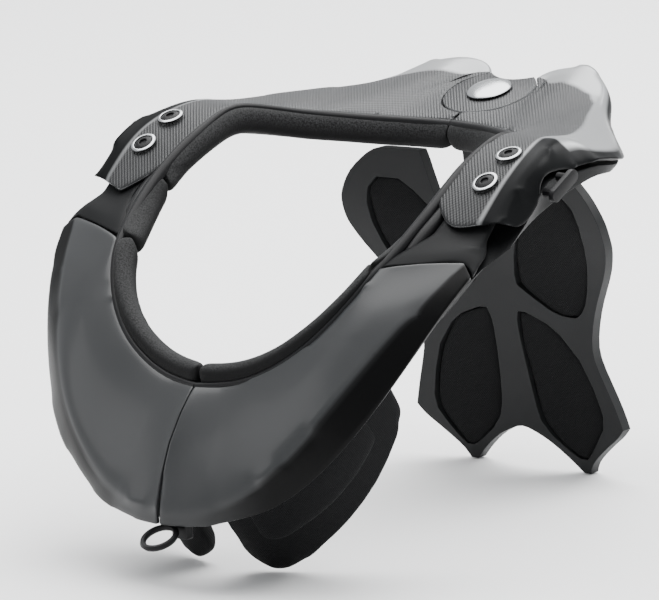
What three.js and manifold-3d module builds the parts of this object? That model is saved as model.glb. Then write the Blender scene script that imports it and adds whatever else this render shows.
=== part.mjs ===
// Motocross neck brace: two hard half frames that close around the neck, hinged at the rear hub,
// with collar pads, chest pads and a padded stabiliser that lies along the spine.
// Millimetres, +Z up. The wearer faces -Y and the wearer's left is +X.
// The lengths in the tables are measured from the front edge of the neck opening.
import * as THREE from 'three'
import * as BufferGeometryUtils from 'three/addons/utils/BufferGeometryUtils.js'
import Module from 'manifold-3d'

// Overall sizes of the frame
const FRAME_HALF = 120
const FRAME_LENGTH = 250
const FRAME_RISE = 100
const BIB_DROP = 58
const NECK_HALF = 80

// Walls and clearances
const SHELL_WALL = 2.2
const GAP = 0.35
const SPLIT_GAP = 0.7

// Hub and hinge
const HUB_TILT = THREE.MathUtils.degToRad(14.6)
const DISC_RADIUS = 22
const DISC_THICKNESS = 3.6
const BUTTON_RADIUS = 11.2
const BUTTON_DOME = 3.2
const POST_RADIUS = 8
const LUG_RADIUS = 19.5
const LUG_THICKNESS = 4
const BASE_RADIUS = 17
const BASE_THICKNESS = 5

// Screws of the arm
const SCREW_SPACING = 18.4
const RING_RADIUS = 6.6
const RING_BORE = 4.7
const SCREW_RADIUS = 4.3
const SOCKET_RADIUS = 1.9

// Collar pads
const PAD_DEPTH = 10
const PAD_HEIGHT = 12.5

// Stabiliser along the spine
const STABILISER_HALF = 77
const STABILISER_THICKNESS = 5.6
const POCKET_DEPTH = 3.5
const NECK_WIDTH = 19

// Chest pads, latch and pull ring
const CHEST_PAD_THICKNESS = 7
const CHEST_BLOCK_THICKNESS = 6
const PULL_RING_RADIUS = 7.8
const PULL_RING_WIRE = 1.5

const wasm = await Module()
wasm.setup()

const glossGrey = new THREE.MeshStandardMaterial({ color: 0x3f4143, roughness: 0.28, metalness: 0.1 })
const matteGrey = new THREE.MeshStandardMaterial({ color: 0x37393a, roughness: 0.6, metalness: 0.0 })
const satinGrey = new THREE.MeshStandardMaterial({ color: 0x85888b, roughness: 0.38, metalness: 0.45 })
const padFabric = new THREE.MeshStandardMaterial({ color: 0x232425, roughness: 0.95, metalness: 0.0 })
const blackTextile = new THREE.MeshStandardMaterial({ color: 0x141516, roughness: 0.9, metalness: 0.0 })
const blackPlastic = new THREE.MeshStandardMaterial({ color: 0x101112, roughness: 0.5, metalness: 0.0 })
const brightMetal = new THREE.MeshStandardMaterial({ color: 0xc9cbcd, roughness: 0.2, metalness: 1.0 })

const model = new THREE.Group()

const add = (name, geometry, material) => {
  const mesh = new THREE.Mesh(geometry, material)
  mesh.name = name
  model.add(mesh)
  return mesh
}

// Vectors from shares of the overall sizes
const at = (x, y, z) => new THREE.Vector3(x * FRAME_HALF, y * FRAME_LENGTH, z * FRAME_RISE)
const atBib = (x, y, z) => new THREE.Vector3(x * FRAME_HALF, y * FRAME_LENGTH, z * BIB_DROP)
const mix = (a, b, t) => a.clone().lerp(b, t)
const moved = (p, x, y, z) => p.clone().add(new THREE.Vector3(x, y, z))

// Closed solid from rows of points, joined row to row. A wrapped row is a closed ring.
const loft = (rows, wrapped) => {
  const count = rows[0].length
  const vertices = rows.flat().flatMap((p) => [p.x, p.y, p.z])
  const faces = []
  const triangle = (a, b, c) => {
    if (a !== b && b !== c && c !== a) faces.push(a, b, c)
  }
  const quad = (a, b, c, d) => {
    triangle(a, b, c)
    triangle(a, c, d)
  }
  const columns = wrapped ? count : count - 1
  for (let i = 0; i < rows.length - 1; i += 1) {
    for (let j = 0; j < columns; j += 1) {
      const k = (j + 1) % count
      quad(i * count + j, (i + 1) * count + j, (i + 1) * count + k, i * count + k)
    }
  }
  const last = (rows.length - 1) * count
  for (let j = 1; j < count / 2; j += 1) {
    const far = count - j
    quad(j - 1, j, far - 1, far % count)
    quad(last + (far % count), last + far - 1, last + j, last + j - 1)
  }
  const geometry = new THREE.BufferGeometry()
  geometry.setAttribute('position', new THREE.Float32BufferAttribute(vertices, 3))
  geometry.setIndex(faces)
  return outward(geometry)
}

// Signed volume of a closed geometry, used to turn its faces out
const signedVolume = (geometry) => {
  const p = geometry.attributes.position
  const index = geometry.index.array
  const [a, b, c] = [new THREE.Vector3(), new THREE.Vector3(), new THREE.Vector3()]
  let volume = 0
  for (let i = 0; i < index.length; i += 3) {
    a.fromBufferAttribute(p, index[i])
    b.fromBufferAttribute(p, index[i + 1])
    c.fromBufferAttribute(p, index[i + 2])
    volume += a.dot(b.cross(c)) / 6
  }
  return volume
}

const outward = (geometry) => {
  if (signedVolume(geometry) < 0) geometry.setIndex(Array.from(geometry.index.array).reverse())
  geometry.computeVertexNormals()
  return geometry
}

const mirrored = (geometry) => {
  const copy = geometry.clone()
  copy.scale(-1, 1, 1)
  return outward(copy)
}

// A geometry with only merged positions, as a solid that can be joined and cut
const merged = (geometry) => {
  const bare = geometry.clone()
  bare.deleteAttribute('normal')
  bare.deleteAttribute('uv')
  return BufferGeometryUtils.mergeVertices(bare, 1e-4)
}

const solid = (geometry) => {
  const bare = merged(geometry)
  return new wasm.Manifold(
    new wasm.Mesh({
      numProp: 3,
      vertProperties: new Float32Array(bare.attributes.position.array),
      triVerts: new Uint32Array(bare.index.array),
    }),
  )
}

const fromSolid = (body) => {
  const mesh = body.getMesh()
  const geometry = new THREE.BufferGeometry()
  geometry.setAttribute('position', new THREE.Float32BufferAttribute(Array.from(mesh.vertProperties), 3))
  geometry.setIndex(Array.from(mesh.triVerts))
  geometry.computeVertexNormals()
  return geometry
}

// Each column of the rows drawn as a smooth curve, with some steps between neighbouring rows
const smoothRows = (rows, steps) => {
  const curves = rows[0].map((_, j) => new THREE.CatmullRomCurve3(rows.map((row) => row[j])))
  const total = (rows.length - 1) * steps
  return Array.from({ length: total + 1 }, (_, i) => curves.map((curve) => curve.getPoint(i / total)))
}

const clampRow = (row, least) => row.map((p) => new THREE.Vector3(Math.max(p.x, least), p.y, p.z))

// Normals of a grid of points, all on the side that faces away from the given point inside
const gridNormals = (rows, inside) => {
  const normals = rows.map((row, i) =>
    row.map((_, j) => {
      const before = rows[Math.max(i - 1, 0)][j]
      const after = rows[Math.min(i + 1, rows.length - 1)][j]
      const left = row[Math.max(j - 1, 0)]
      const right = row[Math.min(j + 1, row.length - 1)]
      return after.clone().sub(before).cross(right.clone().sub(left)).normalize()
    }),
  )
  const outer = rows.flat().map((p) => p.clone().sub(inside(p)))
  const lean = normals.flat().reduce((sum, normal, i) => sum + normal.dot(outer[i]), 0)
  if (lean < 0) normals.flat().forEach((normal) => normal.negate())
  return normals
}

// Thick sheet: the rows are its outer face, and the inner face lies one wall below it
const sheet = (rows, wall, inside) => {
  const normals = gridNormals(rows, inside)
  const rings = rows.map((row, i) => {
    const inner = row.map((p, j) => p.clone().addScaledVector(normals[i][j], -wall))
    return clampRow([...row, ...inner.reverse()], SPLIT_GAP / 2)
  })
  return loft(rings, true)
}

// The neck opening's edge on the left half: shares of the neck half width, frame length and rise
const NECK_EDGE = [
  [0.0, 0.0, 0.0],
  [0.17, 0.009, 0.008],
  [0.33, 0.018, 0.038],
  [0.465, 0.028, 0.084],
  [0.59, 0.04, 0.143],
  [0.696, 0.057, 0.212],
  [0.785, 0.076, 0.287],
  [0.857, 0.1, 0.365],
  [0.915, 0.126, 0.444],
  [0.949, 0.154, 0.512],
  [0.981, 0.192, 0.576],
  [1.007, 0.24, 0.661],
  [1.024, 0.292, 0.745],
  [1.02, 0.351, 0.831],
  [1.01, 0.397, 0.886],
  [1.002, 0.447, 0.933],
  [0.997, 0.488, 0.962],
  [0.982, 0.52, 0.966],
  [0.948, 0.554, 0.95],
  [0.881, 0.59, 0.927],
  [0.775, 0.63, 0.9],
  [0.625, 0.678, 0.877],
  [0.45, 0.718, 0.857],
  [0.225, 0.748, 0.848],
  [0.0, 0.758, 0.846],
]
const neckEdge = new THREE.CatmullRomCurve3(
  NECK_EDGE.map(([x, y, z]) => new THREE.Vector3(x * NECK_HALF, y * FRAME_LENGTH, z * FRAME_RISE)),
)
const NECK_CENTRE_Y = 0.38 * FRAME_LENGTH

// Point of the neck edge at a turn around the neck, from 0 at the front to 180 at the rear
const neckAt = (turn) => {
  let [low, high] = [0, 1]
  for (let i = 0; i < 40; i += 1) {
    const middle = (low + high) / 2
    const p = neckEdge.getPoint(middle)
    const angle = THREE.MathUtils.radToDeg(Math.atan2(p.x, NECK_CENTRE_Y - p.y))
    if (angle < turn) low = middle
    else high = middle
  }
  return neckEdge.getPoint((low + high) / 2)
}

// Inward direction of the neck edge, level, at a turn
const inwardAt = (turn) => {
  const p = neckAt(turn)
  const ahead = neckAt(Math.min(turn + 2, 180))
  const behind = neckAt(Math.max(turn - 2, 0))
  const along = ahead.sub(behind)
  const inward = new THREE.Vector3(-along.y, along.x, 0).normalize()
  const towards = new THREE.Vector3(-p.x, NECK_CENTRE_Y - p.y, 0)
  return inward.dot(towards) < 0 ? inward.negate() : inward
}

// Hub frame: its centre on the top plate and its axis, tilted forward
const HUB_CENTRE = at(0, 0.868, 0.931)
const HUB_AXIS = new THREE.Vector3(0, -Math.sin(HUB_TILT), Math.cos(HUB_TILT))
const HUB_BACK = new THREE.Vector3(0, Math.cos(HUB_TILT), Math.sin(HUB_TILT))
const hubPoint = (radius, degrees, depth) => {
  const angle = THREE.MathUtils.degToRad(degrees)
  return HUB_CENTRE.clone()
    .addScaledVector(new THREE.Vector3(1, 0, 0), radius * Math.cos(angle))
    .addScaledVector(HUB_BACK, radius * Math.sin(angle))
    .addScaledVector(HUB_AXIS, -depth)
}

// Geometry built along +Z, with its top at height 0, set on the hub axis at a depth
const onHub = (geometry, depth) => {
  geometry.rotateX(HUB_TILT)
  const foot = HUB_CENTRE.clone().addScaledVector(HUB_AXIS, -depth)
  geometry.translate(foot.x, foot.y, foot.z)
  return geometry
}

// Levels of the hinge stack, below the top of the hub plate
const LEFT_LUG_DEPTH = DISC_THICKNESS + GAP
const RIGHT_LUG_DEPTH = LEFT_LUG_DEPTH + LUG_THICKNESS + GAP
const BASE_DEPTH = RIGHT_LUG_DEPTH + LUG_THICKNESS + GAP

// Front shell: turn around the neck, crease, hem and bulge of the bib
const FRONT_SHELL = [
  { turn: 0, crease: [0, -0.121, -0.862], hem: [0, -0.121, -1.0], bulge: 4.6 },
  { turn: 8.4, crease: [0.125, -0.116, -0.879], hem: [0.133, -0.114, -1.003], bulge: 4.6 },
  { turn: 16.1, crease: [0.25, -0.104, -0.845], hem: [0.275, -0.098, -0.975], bulge: 4.4 },
  { turn: 22.9, crease: [0.358, -0.086, -0.733], hem: [0.413, -0.072, -0.884], bulge: 4.0 },
  { turn: 29, crease: [0.463, -0.069, -0.547], hem: [0.538, -0.05, -0.741], bulge: 3.4 },
  { turn: 34.6, crease: [0.548, -0.052, -0.353], hem: [0.644, -0.029, -0.543], bulge: 2.8 },
  { turn: 39, crease: [0.633, -0.028, -0.117], hem: [0.738, 0.001, -0.314], bulge: 2.3 },
  { turn: 43.2, crease: [0.725, 0.019, 0.19], hem: [0.825, 0.041, -0.014], bulge: 1.9 },
  { turn: 47.1, crease: [0.82, 0.088, 0.526], hem: [0.908, 0.09, 0.328], bulge: 1.5 },
  { turn: 50.8, crease: [0.896, 0.158, 0.802], hem: [0.964, 0.14, 0.638], bulge: 1.2 },
  { turn: 53.8, crease: [0.95, 0.217, 0.952], hem: [1.0, 0.204, 0.862], bulge: 1.0 },
]
const BIB_COLUMNS = [0, 0.25, 0.5, 0.75, 1]

const bibRow = ({ turn, crease, hem, bulge }) => {
  const edge = neckAt(turn)
  const fold = atBib(...crease)
  const low = atBib(...hem)
  const out = fold.clone().sub(edge).cross(new THREE.Vector3(1, 0, 0)).normalize()
  if (out.y > 0) out.negate()
  const face = BIB_COLUMNS.map((t) =>
    mix(edge, fold, t).addScaledVector(out, bulge * Math.sin(Math.PI * t)))
  return [...face, low]
}

const behindBib = (p) => new THREE.Vector3(p.x * 0.6, p.y + 30, p.z - 10)
const frontShellRows = smoothRows(FRONT_SHELL.map(bibRow), 2)
const frontShell = sheet(frontShellRows, SHELL_WALL, behindBib)

// Arm plate: visible between the shells, and lower where it runs below the rear shell
const ARM_PLATE = [
  { turn: 54.6, crease: [0.952, 0.2215, 0.556], hem: [1.0, 0.209, 0.506], sink: 0 },
  { turn: 59, crease: [0.966, 0.244, 0.604], hem: [1.006, 0.232, 0.546], sink: 0.15 },
  { turn: 66.6, crease: [0.977, 0.276, 0.662], hem: [1.01, 0.268, 0.6], sink: 1.1 },
  { turn: 72, crease: [0.975, 0.29, 0.69], hem: [0.985, 0.29, 0.67], sink: 1.5 },
  { turn: 84.9, crease: [0.965, 0.36, 0.846], hem: [0.97, 0.36, 0.8], sink: 1 },
  { turn: 93, crease: [0.95, 0.412, 0.91], hem: [0.955, 0.412, 0.87], sink: 1 },
  { turn: 100, crease: [0.925, 0.452, 0.935], hem: [0.93, 0.452, 0.9], sink: 1 },
]
const ARM_COLUMNS = [0, 0.33, 0.66, 1]
const ARM_SINK = SHELL_WALL + 3 * GAP

const armRow = ({ turn, crease, hem, sink }) => {
  const depth = sink * ARM_SINK
  const edge = moved(neckAt(turn), 1.7 * depth, 0, -depth)
  const fold = moved(at(...crease), -depth, 0, -depth)
  const low = moved(at(...hem), -depth, 0, -depth)
  const face = ARM_COLUMNS.map((t) => mix(edge, fold, t))
  return [...face, low]
}
const belowArm = (p) => new THREE.Vector3(p.x * 0.2 + 0.8 * 98, p.y + 12, p.z - 25)
const armPlateRows = smoothRows(ARM_PLATE.map(armRow), 2)
const armPlate = sheet(armPlateRows, SHELL_WALL, belowArm)

// Rear shell: from the tongue on the arm, around the lobe, to the hub
const REAR_SHELL = [
  { turn: 77, ridge: [0.905, 0.3, 0.722], rim: [0.996, 0.291, 0.692], skirt: [1.015, 0.304, 0.62], bow: 12 },
  { turn: 81, ridge: [0.905, 0.33, 0.788], rim: [0.997, 0.328, 0.775], skirt: [1.019, 0.352, 0.67], bow: 6 },
  { turn: 84.9, ridge: [0.903, 0.358, 0.84], rim: [0.992, 0.36, 0.846], skirt: [1.018, 0.391, 0.735], bow: 2 },
  { turn: 93, ridge: [0.892, 0.41, 0.909], rim: [0.977, 0.412, 0.91], skirt: [0.998, 0.424, 0.836], bow: 0 },
  { turn: 101.8, ridge: [0.868, 0.464, 0.952], rim: [0.946, 0.464, 0.943], skirt: [0.984, 0.47, 0.85], bow: 0 },
  { turn: 108.7, ridge: [0.84, 0.512, 0.968], rim: [0.917, 0.512, 0.96], skirt: [0.974, 0.52, 0.834], bow: 0 },
  { turn: 114, ridge: [0.825, 0.556, 0.95], rim: [0.89, 0.556, 0.952], skirt: [0.968, 0.564, 0.834], bow: 0 },
  { turn: 118.3, ridge: [0.82, 0.604, 0.934], rim: [0.912, 0.6, 0.91], skirt: [0.963, 0.606, 0.838], bow: 0 },
  { turn: 122, ridge: [0.775, 0.66, 0.933], rim: [0.925, 0.655, 0.862], skirt: [0.94, 0.674, 0.805], bow: 0 },
  { turn: 126.5, ridge: [0.7, 0.724, 0.934], rim: [0.82, 0.735, 0.845], skirt: [0.848, 0.748, 0.765], bow: 0 },
  { turn: 131, ridge: [0.615, 0.79, 0.935], rim: [0.68, 0.803, 0.866], skirt: [0.706, 0.816, 0.785], bow: 0 },
  { turn: 135.5, ridge: [0.54, 0.856, 0.935], rim: [0.55, 0.868, 0.91], skirt: [0.574, 0.88, 0.82], bow: 0 },
  { turn: 140.5, ridge: [0.44, 0.893, 0.96], rim: [0.45, 0.942, 0.992], skirt: [0.472, 0.95, 0.9], bow: 0 },
  { turn: 145.5, ridge: [0.3, 0.909, 0.985], rim: [0.315, 0.976, 1.035], skirt: [0.318, 0.98, 0.945], bow: 0 },
  { turn: 149.5, ridge: [0.22, 0.92, 0.965], rim: [0.17, 0.97, 1.025], skirt: [0.168, 0.972, 0.935], bow: 0 },
]

// Rows at the hub: turn around the neck, and the places of the ridge and of the disc's edge in degrees
const HUB_ROWS = [
  { turn: 153, ridge: 38, place: 53.5 },
  { turn: 155.5, ridge: 27, place: 37 },
  { turn: 158.5, ridge: 14, place: 20 },
  { turn: 162, ridge: -2, place: 2 },
  { turn: 166, ridge: -22, place: -19 },
  { turn: 170.5, ridge: -44, place: -42 },
  { turn: 175, ridge: -66, place: -65 },
  { turn: 180, ridge: -90, place: -90 },
]
const RIDGE_MARGIN = 4
const REAR_COLUMNS = [0, 0.3, 0.6, 1]
const TONGUE_TIP = [0, 0.62, 1, 0.5]

const rearRow = ({ turn, ridge, rim, skirt, bow }) => {
  const edge = neckAt(turn)
  const crest = at(...ridge)
  const border = at(...rim)
  const forward = new THREE.Vector3(0, -0.8, -0.6)
  const face = REAR_COLUMNS.map((t, j) => mix(edge, crest, t).addScaledVector(forward, bow * TONGUE_TIP[j]))
  return [...face, mix(crest, border, 0.5).addScaledVector(forward, 0.2 * bow), border, at(...skirt)]
}

const hubRow = ({ turn, ridge, place }) => {
  const edge = neckAt(turn)
  const radius = DISC_RADIUS + 2 * GAP
  const crest = hubPoint(radius + RIDGE_MARGIN, ridge, 0)
  const border = hubPoint(radius, place, 0)
  const low = hubPoint(radius, place, DISC_THICKNESS)
  const face = REAR_COLUMNS.map((t) => mix(edge, crest, t))
  return [...face, mix(crest, border, 0.5), border, low]
}
const belowRear = (p) => new THREE.Vector3(p.x * 0.3 + 0.7 * 60, p.y * 0.3 + 0.7 * 185, p.z - 45)
const rearShellRows = smoothRows([...REAR_SHELL.map(rearRow), ...HUB_ROWS.map(hubRow)], 2)
const rearShell = sheet(rearShellRows, SHELL_WALL, belowRear)

// Liner that closes the back of the bib
const LINER_TURNS = [1, 8.4, 16.1, 22.9, 29, 34.6, 39, 42]
const LINER_TOP_DROP = 8.5
const LINER_WALL = 2

// The shell's hem at a turn, between the rows of its table
const hemAt = (turn) => {
  const after = Math.max(1, FRONT_SHELL.findIndex((row) => row.turn >= turn))
  const [a, b] = [FRONT_SHELL[after - 1], FRONT_SHELL[after]]
  return mix(atBib(...a.hem), atBib(...b.hem), (turn - a.turn) / (b.turn - a.turn))
}

const linerRow = (turn) => {
  const edge = neckAt(turn)
  const inward = inwardAt(turn)
  const hem = hemAt(turn)
  const top = moved(edge, 0, 0, -LINER_TOP_DROP).addScaledVector(inward, 1)
  const waist = moved(edge, 0, 0, -LINER_TOP_DROP - 13).addScaledVector(inward, 2)
  const heel = moved(hem, 0, 0, 8).addScaledVector(inward, 10)
  const toe = moved(hem, 0, 0, 1.5).addScaledVector(inward, 4.6)
  return [top, waist, mix(waist, heel, 0.5), heel, toe]
}
const linerRows = smoothRows(LINER_TURNS.map(linerRow), 1)
const frontOfLiner = (p) => new THREE.Vector3(p.x * 1.3, p.y - 30, p.z)
const frontLiner = sheet(linerRows, LINER_WALL, frontOfLiner)

// Lower frame: the tray below the arm and the lobe. Shoulder and lip lie inside and below the skirt
const LOWER_FRAME = [
  { turn: 50.2, shoulder: [0.83, 0.156, 0.37], lip: [0.95, 0.143, 0.34], base: [0.88, 0.15, 0.26] },
  { turn: 54, shoulder: [0.895, 0.214, 0.475], lip: [0.985, 0.21, 0.475], base: [0.918, 0.208, 0.365] },
  { turn: 59, shoulder: [0.91, 0.247, 0.53], lip: [0.992, 0.24, 0.515], base: [0.93, 0.262, 0.47] },
  { turn: 66.6, shoulder: [0.92, 0.284, 0.59], lip: [0.997, 0.276, 0.54], base: [0.938, 0.304, 0.53] },
  { turn: 77, shoulder: [0.905, 0.316, 0.59], lip: [1.0, 0.315, 0.57], base: [0.945, 0.345, 0.585] },
  { turn: 84.9, shoulder: [0.912, 0.36, 0.735], lip: [1.002, 0.392, 0.705], base: [0.953, 0.402, 0.64] },
  { turn: 93, shoulder: [0.895, 0.412, 0.81], lip: [0.985, 0.426, 0.8], base: [0.962, 0.446, 0.685] },
  { turn: 101.8, shoulder: [0.865, 0.464, 0.845], lip: [0.97, 0.47, 0.82], base: [0.966, 0.48, 0.715] },
  { turn: 108.7, shoulder: [0.835, 0.512, 0.86], lip: [0.96, 0.518, 0.805], base: [0.96, 0.526, 0.735] },
  { turn: 114, shoulder: [0.8, 0.556, 0.85], lip: [0.955, 0.562, 0.805], base: [0.95, 0.568, 0.75] },
  { turn: 118.3, shoulder: [0.785, 0.596, 0.83], lip: [0.95, 0.604, 0.81], base: [0.94, 0.612, 0.76] },
  { turn: 123.6, shoulder: [0.76, 0.652, 0.815], lip: [0.926, 0.672, 0.775], base: [0.915, 0.668, 0.74] },
  { turn: 129.6, shoulder: [0.68, 0.712, 0.81], lip: [0.832, 0.745, 0.738], base: [0.805, 0.735, 0.71] },
  { turn: 136.1, shoulder: [0.58, 0.772, 0.81], lip: [0.69, 0.812, 0.76], base: [0.66, 0.8, 0.72] },
  { turn: 142.8, shoulder: [0.47, 0.82, 0.815], lip: [0.555, 0.873, 0.795], base: [0.52, 0.856, 0.74] },
  { turn: 150, shoulder: [0.37, 0.85, 0.83], lip: [0.44, 0.94, 0.87], base: [0.4, 0.92, 0.8] },
]
const TRAY_START = { out: 6, down: 7.5 }
const TRAY_DEPTH = 15

const trayRing = ({ turn, shoulder, lip, base }) => {
  const edge = neckAt(turn)
  const outwardStep = inwardAt(turn).multiplyScalar(-TRAY_START.out)
  const top = moved(edge, 0, 0, -TRAY_START.down).add(outwardStep)
  const bottom = moved(edge, 0, 0, -TRAY_DEPTH).add(outwardStep)
  const upper = at(...shoulder)
  const lower = at(...base)
  return [top, mix(top, upper, 0.5), upper, at(...lip), lower, mix(bottom, lower, 0.5), bottom]
}
const trayBody = loft(smoothRows(LOWER_FRAME.map(trayRing), 1), true)

// Hinge lug of one half: a ring around the post and a wing that reaches the tray
const LUG_WING = 0.42 * FRAME_HALF
const lugGeometry = () => {
  const outline = new THREE.Shape()
  outline.absarc(0, 0, LUG_RADIUS, THREE.MathUtils.degToRad(62), THREE.MathUtils.degToRad(-62), false)
  outline.lineTo(LUG_WING, -0.9 * LUG_RADIUS)
  outline.lineTo(LUG_WING, 0.55 * LUG_RADIUS)
  outline.closePath()
  const bore = new THREE.Path()
  bore.absarc(0, 0, POST_RADIUS + GAP, 0, 2 * Math.PI, true)
  outline.holes.push(bore)
  const options = { depth: LUG_THICKNESS, bevelEnabled: false, curveSegments: 12 }
  return new THREE.ExtrudeGeometry(outline, options).translate(0, 0, -LUG_THICKNESS)
}
const lowerFrame = (depth) => fromSolid(solid(trayBody).add(solid(onHub(lugGeometry(), depth))))

// Collar pads: a low section below the shells, and a high one that stands above the front edge.
// Each point is a share of the pad's depth, inward, and of its height, up from the neck edge.
const PAD_LOW = [
  [-0.35, -0.285], [0.1, -0.26], [0.15, -0.1], [0.36, -0.12], [0.56, -0.36],
  [0.6, -0.75], [0.45, -1.05], [0.1, -1.12], [-0.35, -1.05],
]
const PAD_HIGH = [
  [0.2, -0.48], [0.2, -0.14], [0.04, 0.08], [0.1, 0.5], [0.5, 0.7],
  [0.98, 0.56], [1.16, 0.1], [1.04, -0.4], [0.6, -0.56],
]
const padRise = (turn) => THREE.MathUtils.smoothstep(80 - turn, 0, 52)
const padReach = (turn) => THREE.MathUtils.smoothstep(88 - turn, 0, 34)

const padRing = (turn) => {
  const edge = neckAt(turn)
  const inward = inwardAt(turn)
  return PAD_LOW.map(([deep, high], i) => {
    const r = THREE.MathUtils.lerp(deep, PAD_HIGH[i][0], padReach(turn)) * PAD_DEPTH
    const h = THREE.MathUtils.lerp(high, PAD_HIGH[i][1], padRise(turn)) * PAD_HEIGHT
    return moved(edge, 0, 0, h).addScaledVector(inward, r)
  })
}
const collarPad = (from, to, count) => {
  const rings = Array.from({ length: count + 1 }, (_, i) => padRing(from + ((to - from) * i) / count))
  return loft(rings.map((ring) => clampRow(ring, SPLIT_GAP / 2)), true)
}

// Screws of the arm, along the middle line of the tongue
const tongueLine = new THREE.CatmullRomCurve3(
  REAR_SHELL.slice(1, 6).map((row, i) => {
    const points = rearRow(row)
    return mix(points[0], points[3], 0.68 + 0.03 * i)
  }),
).getPoints(80)
const FRONT_SCREW_Y = 0.353 * FRAME_LENGTH
const SCREW_LIFT = GAP + 0.15

const onArm = (geometry, y) => {
  const after = Math.max(1, tongueLine.findIndex((p) => p.y >= y))
  const [a, b] = [tongueLine[after - 1], tongueLine[after]]
  const place = mix(a, b, (y - a.y) / (b.y - a.y))
  const slope = Math.atan2(b.z - a.z, b.y - a.y)
  geometry.rotateX(slope)
  const lift = new THREE.Vector3(0, -Math.sin(slope), Math.cos(slope)).multiplyScalar(SCREW_LIFT)
  geometry.translate(place.x + lift.x, place.y + lift.y, place.z + lift.z)
  return geometry
}
const lathe = (profile, segments) => {
  const geometry = new THREE.LatheGeometry(profile.map(([r, z]) => new THREE.Vector2(r, z)), segments)
  geometry.rotateX(Math.PI / 2)
  return outward(merged(geometry))
}
const RING_PROFILE = [
  [RING_BORE, 0], [RING_RADIUS, 0], [RING_RADIUS, 0.7], [RING_BORE + 0.4, 1.2], [RING_BORE, 1.0], [RING_BORE, 0],
]
const SCREW_PROFILE = [
  [0, 0], [SCREW_RADIUS, 0], [SCREW_RADIUS, 0.7], [SOCKET_RADIUS + 0.4, 1.4], [SOCKET_RADIUS, 1.3],
  [SOCKET_RADIUS, 0.4], [0, 0.4],
]
const ringGeometry = () => lathe(RING_PROFILE, 16)
const screwGeometry = () => lathe(SCREW_PROFILE, 12)

// Strap hook: a bar that stands off the side of the arm on two pegs
const HOOK_LENGTH = 20
const HOOK_WIDTH = 6
const HOOK_THICKNESS = 2.6
const HOOK_REACH = 8
const HOOK_FOOT = at(1.0115, 0.435, 0.807)
const hookGeometry = () => {
  const outline = new THREE.Shape()
  const half = HOOK_LENGTH / 2 - HOOK_WIDTH / 2
  outline.absarc(half, 0, HOOK_WIDTH / 2, -Math.PI / 2, Math.PI / 2, false)
  outline.absarc(-half, 0, HOOK_WIDTH / 2, Math.PI / 2, 1.5 * Math.PI, false)
  outline.closePath()
  const options = { depth: HOOK_THICKNESS, bevelEnabled: false, curveSegments: 5 }
  const bar = new THREE.ExtrudeGeometry(outline, options)
  bar.translate(0, 0, HOOK_REACH - HOOK_THICKNESS)
  const pegs = [-half + 1.5, half - 1.5].map((x) => {
    const peg = new THREE.CylinderGeometry(1.8, 2.2, HOOK_REACH - 1, 8)
    peg.rotateX(Math.PI / 2)
    return peg.translate(x, 0, (HOOK_REACH - 1) / 2)
  })
  const body = pegs.reduce((sum, peg) => sum.add(solid(peg)), solid(bar))
  const geometry = fromSolid(body)
  const along = new THREE.Vector3(0, 0.89, 0.456)
  const out = new THREE.Vector3(1, 0, 0)
  const up = out.clone().cross(along)
  geometry.applyMatrix4(new THREE.Matrix4().makeBasis(along, up, out))
  return geometry.translate(HOOK_FOOT.x, HOOK_FOOT.y, HOOK_FOOT.z)
}

// Hub: cover with its post, button and base
const CUT_BACK = 13.4
const NOTCH_BACK = 18.1
const coverGeometry = () => {
  const outline = new THREE.Shape()
  const notch = Math.asin(NOTCH_BACK / DISC_RADIUS)
  outline.absarc(0, 0, DISC_RADIUS, Math.PI - notch, notch, false)
  outline.quadraticCurveTo(0, 2 * CUT_BACK - NOTCH_BACK, -DISC_RADIUS * Math.cos(notch), NOTCH_BACK)
  const options = { depth: DISC_THICKNESS, bevelEnabled: false, curveSegments: 20 }
  const disc = new THREE.ExtrudeGeometry(outline, options)
  disc.translate(0, 0, -DISC_THICKNESS)
  const postLength = BASE_DEPTH - GAP - 1
  const post = new THREE.CylinderGeometry(POST_RADIUS, POST_RADIUS, postLength, 24)
  post.rotateX(Math.PI / 2)
  post.translate(0, 0, -1 - postLength / 2)
  return onHub(fromSolid(solid(disc).add(solid(post))), 0)
}
const BUTTON_PROFILE = [[0, 0], [1, 0], [1, 0.19], [0.8, 0.72], [0.4, 0.94], [0, 1]]
const buttonGeometry = () =>
  onHub(lathe(BUTTON_PROFILE.map(([r, z]) => [r * BUTTON_RADIUS, z * BUTTON_DOME]), 24), -GAP)

// Stabiliser: front line of the spine as shares of the rise and the frame length, from the top down
const SPINE = [[0.72, 0.798], [0.41, 0.818], [0.0, 0.864], [-0.5, 0.906], [-0.71, 0.918], [-0.92, 0.942]]
const spineCurve = new THREE.CatmullRomCurve3(
  SPINE.map(([z, y]) => new THREE.Vector3(0, y * FRAME_LENGTH, z * FRAME_RISE)),
)
const SPINE_STEPS = 60
const spineSteps = spineCurve.getPoints(SPINE_STEPS)
const spineFront = (z) => {
  const after = Math.max(1, spineSteps.findIndex((p) => p.z <= z))
  const [a, b] = [spineSteps[after - 1], spineSteps[after]]
  return THREE.MathUtils.lerp(a.y, b.y, (z - a.z) / (b.z - a.z))
}
const WRAP_LOW = 2
const WRAP_HIGH = 8
const plateFront = (x, z) => {
  const high = THREE.MathUtils.smoothstep(z, -0.2 * FRAME_RISE, 0.45 * FRAME_RISE)
  const wrap = THREE.MathUtils.lerp(WRAP_LOW, WRAP_HIGH, high)
  return spineFront(z) - wrap * Math.abs(x / STABILISER_HALF) ** 1.4
}

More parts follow.
